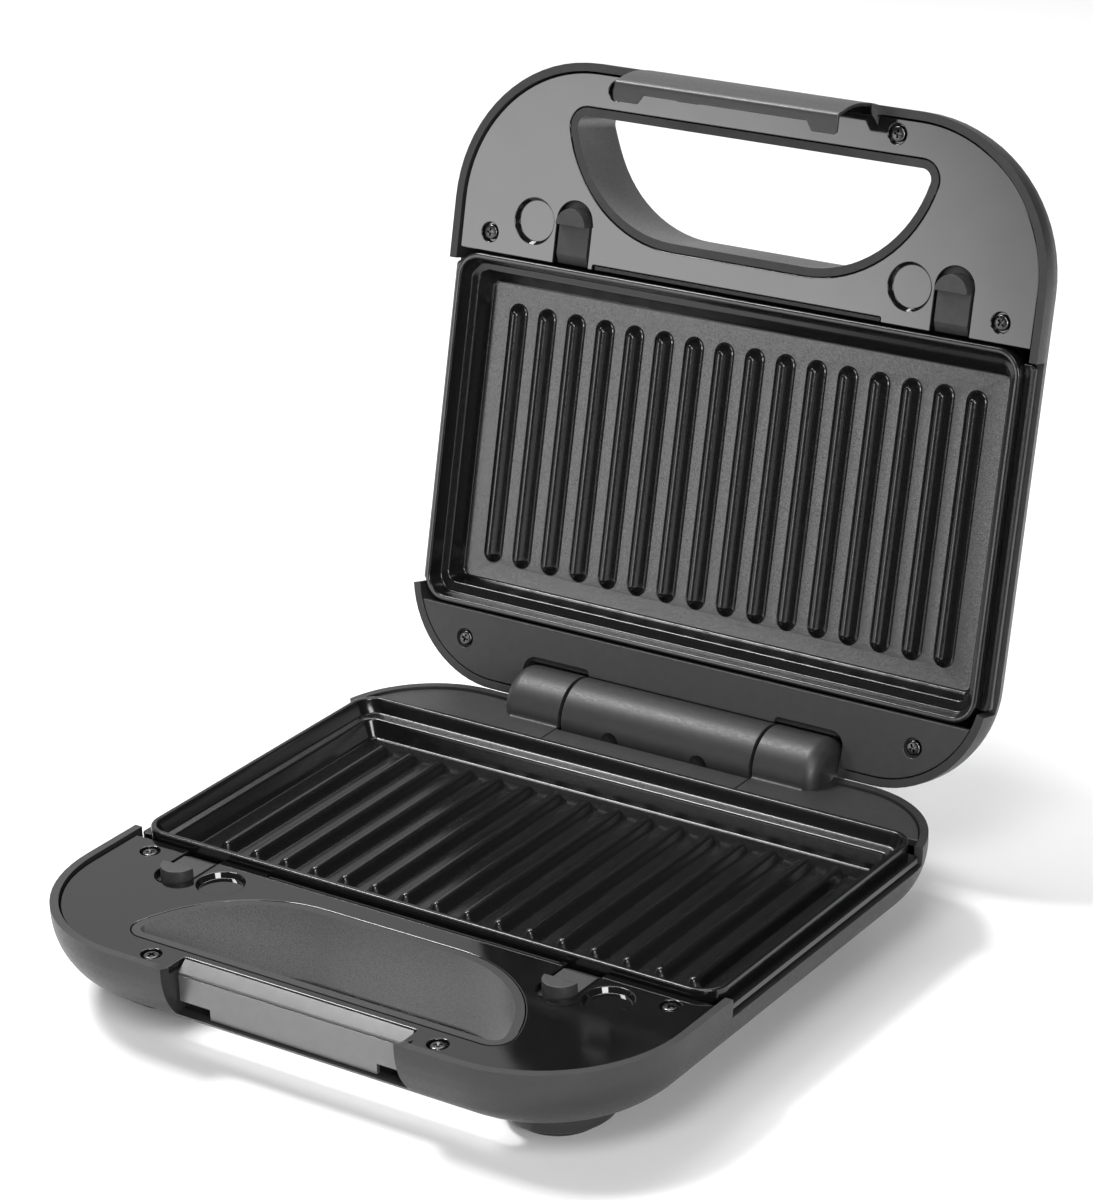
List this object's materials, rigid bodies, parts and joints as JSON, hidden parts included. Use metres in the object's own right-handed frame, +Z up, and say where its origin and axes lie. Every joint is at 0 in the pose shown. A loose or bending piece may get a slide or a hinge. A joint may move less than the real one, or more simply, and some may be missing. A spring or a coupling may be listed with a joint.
{
  "type": "panini press",
  "caption": "Two-plate contact grill with ribbed lift-out plates, D-shaped carrying handle, barrel hinge and front latch, shown with the lid open.",
  "frame": {"origin": "on the ground under the middle of the open press's bounding box", "axes": "+Z up, +Y from the front catch towards the hinge, +X to the right seen from the front"},
  "size_m": [0.2384, 0.3102, 0.2588],
  "materials": {
    "shell_plastic": "satin moulded, fine grain",
    "gloss_cover": "high gloss, polished",
    "matte_cover": "matt moulded, fine spark texture",
    "nonstick_plate": "cast aluminium under a dark speckled non-stick coating",
    "tab_plastic": "matt moulded",
    "latch_finish": "satin grey lacquer",
    "catch_finish": "satin grey lacquer",
    "screw_steel": "blackened, cross recess",
    "steel": "bright drawn",
    "reflector": "thin bright sheet",
    "ceramic": "unglazed off-white",
    "rubber": "matt black",
    "red_lens": "clear red",
    "green_lens": "clear green"
  },
  "bodies": {
    "base": {"base_shell": "shell_plastic", "base_front_cover": "gloss_cover", "base_knuckle_cover_left": "matte_cover", "base_knuckle_cover_right": "matte_cover", "base_centre_strip": "matte_cover", "latch_catch": "catch_finish", "base_screw_side_left": "screw_steel", "base_screw_side_right": "screw_steel", "base_screw_front_left": "screw_steel", "base_screw_front_right": "screw_steel", "hinge_pin": "steel", "base_heating_element": "steel", "thermal_fuse": "steel", "base_tab_spring_left": "steel", "base_tab_spring_right": "steel", "base_heater_tray": "reflector", "base_thermostat": "ceramic", "terminal_block": "ceramic", "foot_front_left": "rubber", "foot_front_right": "rubber", "foot_rear_left": "rubber", "foot_rear_right": "rubber", "cord_gland": "rubber"},
    "lid": {"lid_shell": "shell_plastic", "lid_front_cover": "gloss_cover", "lid_rear_cover": "matte_cover", "hinge_barrel": "matte_cover", "lid_screw_side_left": "screw_steel", "lid_screw_side_right": "screw_steel", "lid_screw_front_left": "screw_steel", "lid_screw_front_right": "screw_steel", "lid_screw_rear_left": "screw_steel", "lid_screw_rear_right": "screw_steel", "latch_pin": "steel", "lid_heating_element": "steel", "lid_tab_spring_left": "steel", "lid_tab_spring_right": "steel", "lid_heater_tray": "reflector", "lid_thermostat": "ceramic", "power_lens": "red_lens", "ready_lens": "green_lens"},
    "latch": {"latch": "latch_finish"},
    "base_plate": {"base_grill_plate": "nonstick_plate"},
    "lid_plate": {"lid_grill_plate": "nonstick_plate"},
    "base_tab_left": {"base_release_tab_left": "tab_plastic"},
    "base_tab_right": {"base_release_tab_right": "tab_plastic"},
    "lid_tab_left": {"lid_release_tab_left": "tab_plastic"},
    "lid_tab_right": {"lid_release_tab_right": "tab_plastic"}
  },
  "joints": [
    {"name": "lid_hinge", "type": "hinge", "parent": "base", "child": "lid", "pos_m": [0, 0.07401, 0.0355], "axis": [-1, 0, 0], "range_deg": [-104.2, 0]},
    {"name": "latch_pivot", "type": "hinge", "parent": "lid", "child": "latch", "pos_m": [0, 0.14, 0.24738], "axis": [-1, 0, 0], "range_deg": [0, 35]},
    {"name": "base_tab_left_press", "type": "slide", "parent": "base", "child": "base_tab_left", "axis": [0, -1, 0], "range_m": [0, 0.002], "stiffness_N_per_m": 150, "springref_m": -0.004, "deforming": ["base_tab_spring_left"]},
    {"name": "base_tab_right_press", "type": "slide", "parent": "base", "child": "base_tab_right", "axis": [0, -1, 0], "range_m": [0, 0.002], "stiffness_N_per_m": 150, "springref_m": -0.004, "deforming": ["base_tab_spring_right"]},
    {"name": "lid_tab_left_press", "type": "slide", "parent": "lid", "child": "lid_tab_left", "axis": [0, 0.2453, 0.9694], "range_m": [0, 0.002], "stiffness_N_per_m": 150, "springref_m": -0.004, "deforming": ["lid_tab_spring_left"]},
    {"name": "lid_tab_right_press", "type": "slide", "parent": "lid", "child": "lid_tab_right", "axis": [0, 0.2453, 0.9694], "range_m": [0, 0.002], "stiffness_N_per_m": 150, "springref_m": -0.004, "deforming": ["lid_tab_spring_right"]},
    {"name": "base_plate_lift", "type": "slide", "parent": "base", "child": "base_plate", "axis": [0, 0, 1], "range_m": [0, 0.025]},
    {"name": "lid_plate_lift", "type": "slide", "parent": "lid", "child": "lid_plate", "axis": [0, -0.9694, 0.2453], "range_m": [0, 0.025]}
  ]
}
